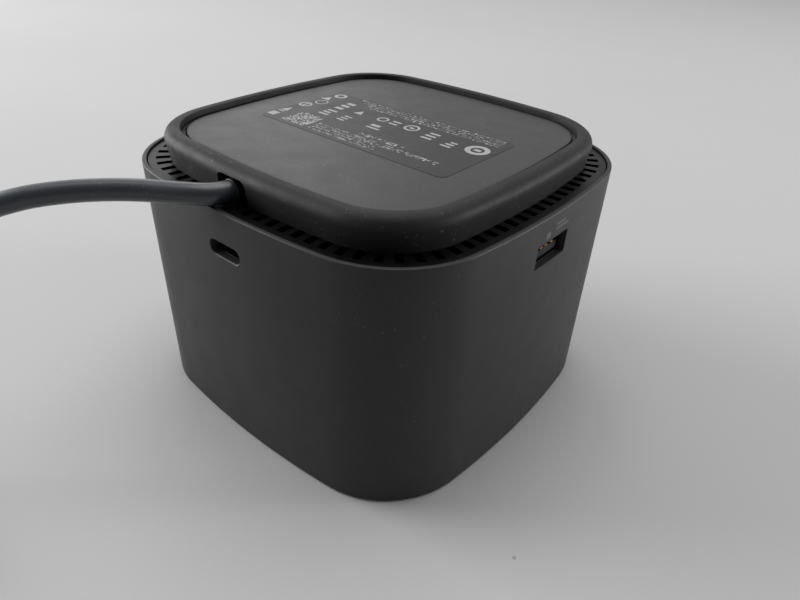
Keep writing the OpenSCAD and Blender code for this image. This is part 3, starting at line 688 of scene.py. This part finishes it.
def make_skirt():
    """The rubber foot: its wall leans out as it rises and rolls over into the notched top band."""
    n, wall_h, band_r = 6, TOP_Z - FOOT_EDGE_R - LEDGE_Z, 0.3
    profile = [
        (SKIRT_T, LEDGE_Z), (SKIRT_DRAFT, LEDGE_Z),
        *[(SKIRT_DRAFT - SKIRT_DRAFT * i / n, LEDGE_Z + wall_h * i / n) for i in range(1, n)],
        *corner_arc(FOOT_EDGE_R, TOP_Z - FOOT_EDGE_R, FOOT_EDGE_R, 180, 90, 8),
        *corner_arc(FOOT_BAND - band_r, TOP_Z - band_r, band_r, 90, 0, 3),
        (FOOT_BAND, FRAME_TOP), (SKIRT_T, FRAME_TOP),
    ]
    bm = bmesh.new()
    loft(bm, [ring(FOOT, d, z) for d, z in profile], closed=True)
    skirt = finish_mesh(bm, "foot_ring", "foot_rubber")
    notch, notch_r = bmesh.new(), 1.6
    steps = [(-FOOT_HALF - 3, 0.5), (-FOOT_HALF - 0.2, 0.5), (-FOOT_HALF + 0.25, 0.15),
             (-FOOT_HALF + 0.7, 0.0), (-36.0, 0.0)]
    loft(notch, [[(NOTCH_X + a, y, NOTCH_Z + b)
                  for a, b in rounded(NOTCH_W + 2 * g, NOTCH_H + 2 * g, notch_r, 6)]
                 for y, g in steps])
    cut(skirt, [notch])
    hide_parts("foot_skirt")


def make_base_cover():
    """The recessed cover; two rings inside its edge keep the shading of the flat top even."""
    edge, top, edge_r = FOOT_BAND + GROOVE, TOP_Z - RECESS, 0.35
    profile = [
        (edge, COVER_BOTTOM), (edge, top - edge_r),
        *corner_arc(edge + edge_r, top - edge_r, edge_r, 180, 90, 4),
        (edge + 1.5, top), (edge + 6.0, top),
    ]
    bm = bmesh.new()
    loft(bm, [ring(FOOT, d, z) for d, z in profile])
    cover = finish_mesh(bm, "base_plate", "base_plastic")
    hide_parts("base_cover")


def make_label():
    """The label, sunk by half its thickness into the cover, and its marks, which say nothing."""
    top = TOP_Z - RECESS + LABEL_T / 2
    bm = bmesh.new()
    loft(bm, [[(LABEL_X + a, LABEL_Y + b, z)
               for a, b in rounded(LABEL_W - 2 * g, LABEL_H - 2 * g, LABEL_R - g, 6)]
              for z, g in ((top - LABEL_T, 0.0), (top - 0.03, 0.0), (top, 0.04))])
    label = finish_mesh(bm, "label_film", "label_film")
    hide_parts("rating_label")

    # The marks are laid out about a point that lies just off the label's centre
    rnd = random.Random(41)
    bm = bmesh.new()
    z = top + 0.02
    off_x, off_y = 0.6, -0.7

    def flat(points):
        bm.faces.new([bm.verts.new((LABEL_X + x - off_x, LABEL_Y + y - off_y, z))
                      for x, y in points])

    def bar(x, y, w, h):
        flat([(x, y), (x + w, y), (x + w, y + h), (x, y + h)])

    def hoop(x, y, outer, inner, n=28):
        t = [2 * pi * i / n for i in range(n + 1)]
        for a, b in zip(t, t[1:]):
            flat([(x + r * cos(q), y + r * sin(q))
                  for r, q in ((inner, a), (outer, a), (outer, b), (inner, b))])

    def line_of_marks(x0, x1, y, h, gap=0.3):
        """A row of short strokes that reads as small print and says nothing."""
        x = x0
        while x < x1:
            w = rnd.choice((0.16, 0.16, 0.5, 0.7))
            if rnd.random() < 0.16:
                x += h * 0.6
                continue
            low = rnd.choice((0.0, 0.0, 0.5)) * h
            bar(x, y + low, w, rnd.choice((0.25, 0.5, 1.0)) * (h - low) + 0.05)
            if rnd.random() < 0.6:
                bar(x, y + h * 0.8, w + 0.25, h * 0.2)
            x += w + gap

    cell, filled, columns, lines = 0.42, 0.52, 20, 19
    for i in range(columns):
        for j in range(lines):
            if rnd.random() < filled:
                bar(-23.2 + i * cell, -14.1 + j * cell, cell * 0.97, cell * 0.97)
    bar(-29.4, -13.6, 2.6, 2.6)
    bar(-29.2, -9.8, 2.2, 0.5)
    flat([(-29.3, -8.8), (-26.9, -8.8), (-28.1, -5.6)])
    hoop(-28.0, -1.0, 1.9, 1.3)
    bar(-28.3, -2.4, 0.6, 2.8)
    hoop(-26.4, 3.6, 1.9, 1.5)
    flat([(-29.6, 6.2), (-26.4, 6.2), (-28.0, 9.0)])
    hoop(-26.8, 11.6, 1.9, 1.0)
    for k in range(3):
        bar(-20.4, -3.6 + 1.7 * k, 3.4 - 0.8 * (k % 2), 0.9)
        bar(-20.6, 2.6 + 2.4 * k, 2.8, 1.4)
        bar(-13.4, -3.8 + 1.5 * k, 2.6, 0.7)
    flat([(-13.8, 3.2), (-11.0, 3.2), (-12.4, 6.0)])
    bar(-3.8, -2.8, 4.2, 0.8)
    bar(-3.8, -1.2, 3.0, 1.4)
    hoop(-4.4, 4.7, 1.7, 1.1)
    bar(-1.6, 3.4, 2.8, 0.8)
    bar(-1.6, 5.2, 2.8, 0.8)
    hoop(5.3, 4.9, 2.2, 1.5)
    bar(4.6, 4.4, 1.4, 0.9)
    for k in range(3):
        bar(10.8, 1.2 + 1.9 * k, 3.2, 0.9)
        bar(17.6 + 0.5 * k, 0.2 + 1.5 * k, 3.0 - 0.5 * k, 0.8)
    hoop(26.3, 3.8, 3.1, 1.75)
    bar(25.4, 3.1, 1.9, 1.3)
    for k in range(4):
        line_of_marks(-19.6 + 2.0 * k, 28.6, 12.9 - 1.35 * k, 0.75)
        line_of_marks(-13.4, 9.0 - 1.2 * k, -14.2 + 1.35 * k, 0.85)
    line_of_marks(-1.0, 13.0, -8.6, 1.5, 0.22)
    line_of_marks(9.0, 25.0, -10.9, 1.5, 0.22)
    line_of_marks(2.0, 12.0, -11.2, 0.9)
    finish_mesh(bm, "label_marks", "label_film", mat=PRINT)


def make_socket_marks():
    """A faint block and two plain bars over the large socket, printed on the bowed +X face."""
    bm = bmesh.new()
    n, print_t = 6, 0.015
    for y0, y1, z0, z1 in ((-3.4, -1.5, 58.4, 59.9), (0.6, 6.6, 59.4, 60.0),
                           (0.6, 4.8, 60.5, 61.1)):
        steps = [y0 + (y1 - y0) * i / n for i in range(n + 1)]
        rows = [[bm.verts.new((bow(y) + print_t, y, z)) for y in steps] for z in (z0, z1)]
        for i in range(n):
            bm.faces.new((rows[0][i], rows[0][i + 1], rows[1][i + 1], rows[1][i]))
    finish_mesh(bm, "socket_marks", "soft_touch_shell", mat=FAINT_PRINT)


make_skirt()
make_base_cover()
make_label()
make_socket_marks()

# Pieces that keep their CAD mesh, with softer edges, and then those whose look isn't their slot's
for name in ("vent_ring", "rear_panel", "power_button", "large_socket_shell", "small_socket_shell",
             "large_socket_tongue", "small_socket_tongue", "ethernet_jack", "power_jack",
             "display_sockets", "video_socket", "rear_socket_shells", "rear_socket_tongues",
             "audio_jack", "status_light", "lock_plate"):
    soften(frame["nodes"][name])
frame["nodes"]["rear_socket_tongues"].data.materials[0] = BLUE
# The near sockets' shells take a steel darkened as painted shade
for name in ("large_socket_shell", "small_socket_shell"):
    frame["nodes"][name].data.materials[0] = MATS["socket_steel_painted_shade"]
# The large near socket's contacts take a brighter, less metallic copper as painted light
frame["nodes"]["large_socket_contacts"].data.materials[0] = MATS["contact_copper_painted_light"]


# ---- Floor, light and world ----

def make_stage():
    """A pale speckled table that fades to a lighter grey away from the part; sizes in metres."""
    half_side, fade_start, fade_end = 8.0, 1.0, 3.5
    mesh = bpy.data.meshes.new("floor")
    bm = bmesh.new()
    bmesh.ops.create_grid(bm, x_segments=2, y_segments=2, size=half_side)
    bm.to_mesh(mesh)
    bm.free()
    floor = bpy.data.objects.new("floor", mesh)
    scene.collection.objects.link(floor)
    mat, tree, shader = new_material("floor", Specular_IOR_Level=0.1)
    at = place(tree)
    colour = blend_colour(tree, noise(tree, at, 3.0, 4.0), grey(0.40), grey(0.45))
    away = node(tree, "ShaderNodeVectorMath", {"Vector": at}, operation="LENGTH").outputs["Value"]
    colour = blend_colour(tree, remap(tree, away, fade_start, fade_end), colour, grey(0.95))
    dots = specks(tree, at, 60.0, 0.035, 0.5)
    colour = blend_colour(tree, math_node(tree, "MULTIPLY", dots, 0.55), colour, grey(0.12))
    tree.links.new(colour, shader.inputs["Base Color"])
    tree.links.new(remap(tree, noise(tree, at, 30.0), 0.3, 0.7, 0.8, 0.95),
                   shader.inputs["Roughness"])
    mesh.materials.append(mat)


def area_light(name, where, aim, size, power):
    data = bpy.data.lights.new(name, "AREA")
    data.energy, data.size = power, size
    light = bpy.data.objects.new(name, data)
    light.location = where
    light.rotation_euler = (Vector(aim) - Vector(where)).to_track_quat("-Z", "Y").to_euler()
    scene.collection.objects.link(light)


def make_world():
    """A pale room that is darker on the side the camera stands."""
    world = bpy.data.worlds.new("world")
    scene.world = world
    world.use_nodes = True
    tree = world.node_tree
    direction = node(tree, "ShaderNodeTexCoord").outputs["Generated"]
    towards = node(tree, "ShaderNodeVectorMath", {"Vector": direction}, operation="DOT_PRODUCT")
    towards.inputs[1].default_value = (0.75, -0.66, 0.1)
    side = remap(tree, towards.outputs["Value"], -0.2, 0.7)
    colour = blend_colour(tree, side, grey(0.8), grey(0.26))
    tree.links.new(colour, tree.nodes["Background"].inputs["Color"])
    tree.nodes["Background"].inputs["Strength"].default_value = 0.8


make_stage()
make_world()
MIDDLE = (0, 0, 0.03)
area_light("back", (-1.3, 0.8, 0.65), MIDDLE, size=0.8, power=2.3)
area_light("side", (-1.35, -0.6, 0.5), MIDDLE, size=0.9, power=28.0)
area_light("right", (1.05, 0.95, 0.2), MIDDLE, size=0.3, power=11.0)
area_light("top", (-0.1, 0.3, 1.3), (0.0, -0.1, 0), size=1.1, power=9.5)
scene.view_settings.view_transform = "Standard"
